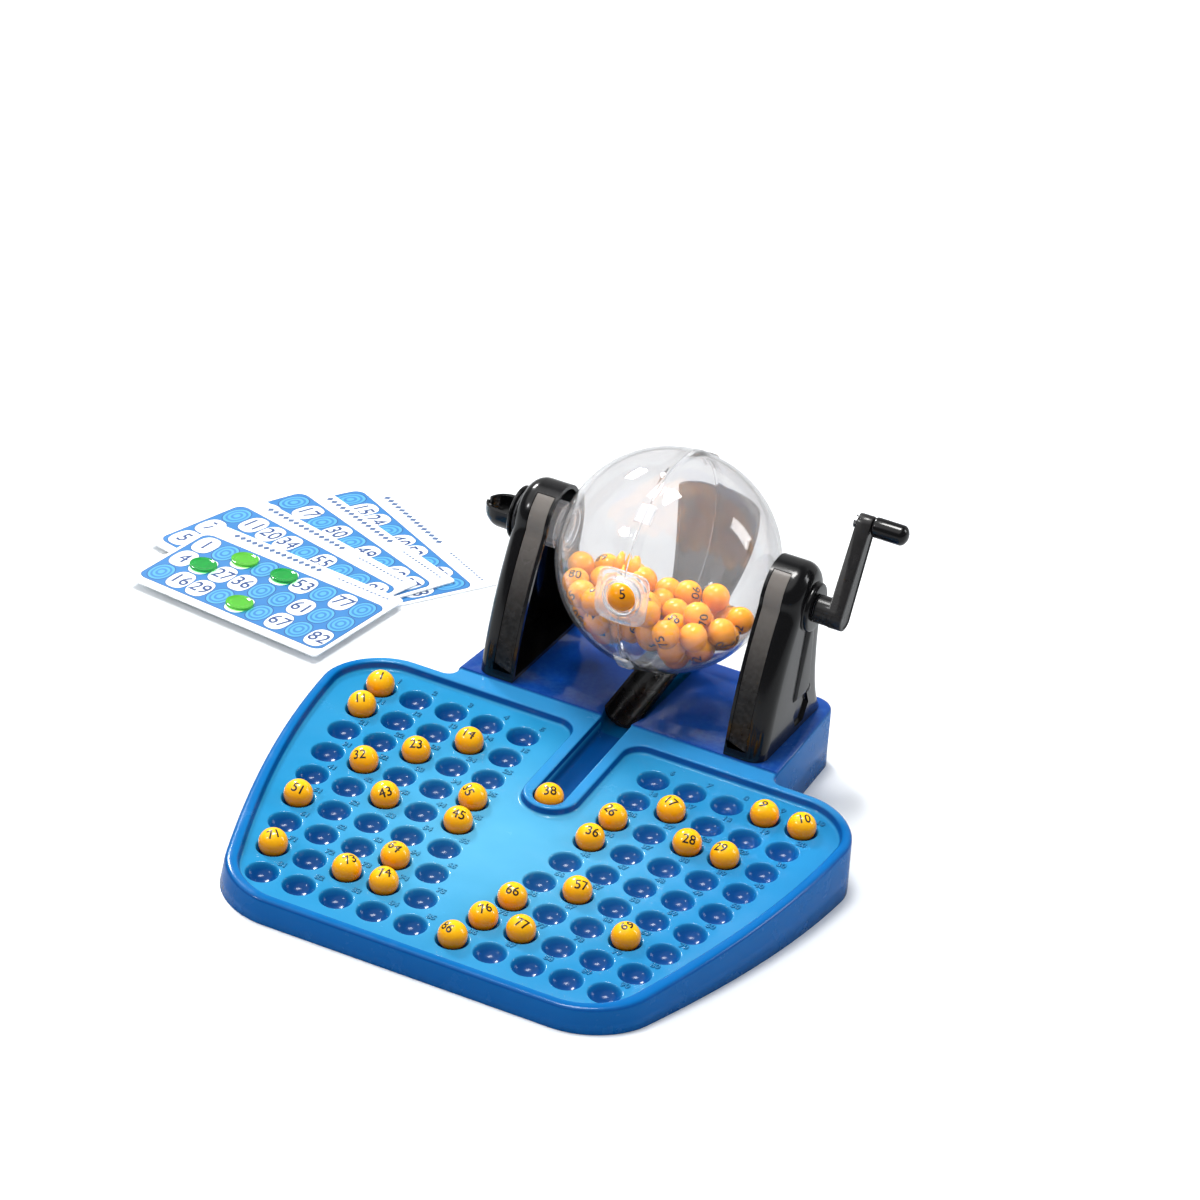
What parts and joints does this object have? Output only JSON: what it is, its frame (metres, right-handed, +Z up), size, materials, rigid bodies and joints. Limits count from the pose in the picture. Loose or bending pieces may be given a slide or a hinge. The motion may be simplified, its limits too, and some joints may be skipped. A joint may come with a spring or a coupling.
{
  "type": "bingo game",
  "caption": "Tabletop bingo game: clear globe turned by a hand crank between two stands, ball chute, pitted tray, balls, cards and chips.",
  "frame": {"origin": "on the table under the middle of the whole game, cards included", "axes": "+X from the loading cup to the crank along the axle, +Y from the front of the tray to the globe, +Z up"},
  "size_m": [0.404, 0.3844, 0.1464],
  "materials": {
    "tray_blue": "translucent gloss",
    "black": "gloss",
    "clear": "clear gloss",
    "ball_yellow": "gloss",
    "steel": "plain",
    "card": "printed",
    "chip_green": "translucent gloss",
    "bush_grey": "matte"
  },
  "bodies": {
    "base": {"base_tray": "tray_blue", "left_stand": "black", "right_stand": "black", "left_bush": "bush_grey", "right_bush": "bush_grey", "loading_cup": "black", "ball_chute": "black", "balls_in_globe": "ball_yellow", "ball_1": "ball_yellow", "ball_9": "ball_yellow", "ball_10": "ball_yellow", "ball_11": "ball_yellow", "ball_14": "ball_yellow", "ball_17": "ball_yellow", "ball_23": "ball_yellow", "ball_26": "ball_yellow", "ball_28": "ball_yellow", "ball_29": "ball_yellow", "ball_32": "ball_yellow", "ball_35": "ball_yellow", "ball_36": "ball_yellow", "ball_43": "ball_yellow", "ball_45": "ball_yellow", "ball_51": "ball_yellow", "ball_57": "ball_yellow", "ball_64": "ball_yellow", "ball_66": "ball_yellow", "ball_69": "ball_yellow", "ball_71": "ball_yellow", "ball_73": "ball_yellow", "ball_74": "ball_yellow", "ball_76": "ball_yellow", "ball_77": "ball_yellow", "ball_86": "ball_yellow"},
    "globe": {"globe_left_half": "clear", "globe_right_half": "clear", "exit_collar": "clear", "filler_tube": "clear", "crank_shaft": "steel", "crank_arm": "black", "knob_pin": "steel", "seam_clip_1": "clear", "seam_clip_2": "clear", "seam_clip_3": "clear", "seam_clip_4": "clear", "exit_ball": "ball_yellow"},
    "crank_knob": {"crank_knob": "black"},
    "channel_ball": {"channel_ball": "ball_yellow"},
    "card_1": {"card_1": "card"},
    "card_2": {"card_2": "card"},
    "card_3": {"card_3": "card"},
    "card_4": {"card_4": "card"},
    "chip_1": {"chip_1": "chip_green"},
    "chip_2": {"chip_2": "chip_green"},
    "chip_3": {"chip_3": "chip_green"},
    "chip_4": {"chip_4": "chip_green"}
  },
  "joints": [
    {"name": "globe_spin", "type": "hinge", "parent": "base", "child": "globe", "pos_m": [0.07145, 0.04634, 0.0945], "axis": [1, 0, 0], "continuous": true},
    {"name": "knob_spin", "type": "hinge", "parent": "globe", "child": "crank_knob", "pos_m": [0.15905, 0.06442, 0.13241], "axis": [1, 0, 0], "continuous": true},
    {"name": "channel_roll", "type": "slide", "parent": "base", "child": "channel_ball", "axis": [0, 0.9962, 0.0872], "range_m": [0, 0.06]},
    {"name": "card_1_slide", "type": "slide", "parent": "base", "child": "card_1", "axis": [-0.1219, -0.9925, 0], "range_m": [0, 0.05]},
    {"name": "card_2_slide", "type": "slide", "parent": "base", "child": "card_2", "axis": [-0.9613, 0.2756, 0], "range_m": [0, 0.05]},
    {"name": "card_3_slide", "type": "slide", "parent": "base", "child": "card_3", "axis": [-0.9063, 0.4226, 0], "range_m": [0, 0.05]},
    {"name": "card_4_slide", "type": "slide", "parent": "base", "child": "card_4", "axis": [0.515, 0.8572, 0], "range_m": [0, 0.05]},
    {"name": "chip_1_lift", "type": "slide", "parent": "card_1", "child": "chip_1", "axis": [0, 0, 1], "range_m": [0, 0.03]},
    {"name": "chip_2_lift", "type": "slide", "parent": "card_1", "child": "chip_2", "axis": [0, 0, 1], "range_m": [0, 0.03]},
    {"name": "chip_3_lift", "type": "slide", "parent": "card_1", "child": "chip_3", "axis": [0, 0, 1], "range_m": [0, 0.03]},
    {"name": "chip_4_lift", "type": "slide", "parent": "card_1", "child": "chip_4", "axis": [0, 0, 1], "range_m": [0, 0.03]}
  ]
}
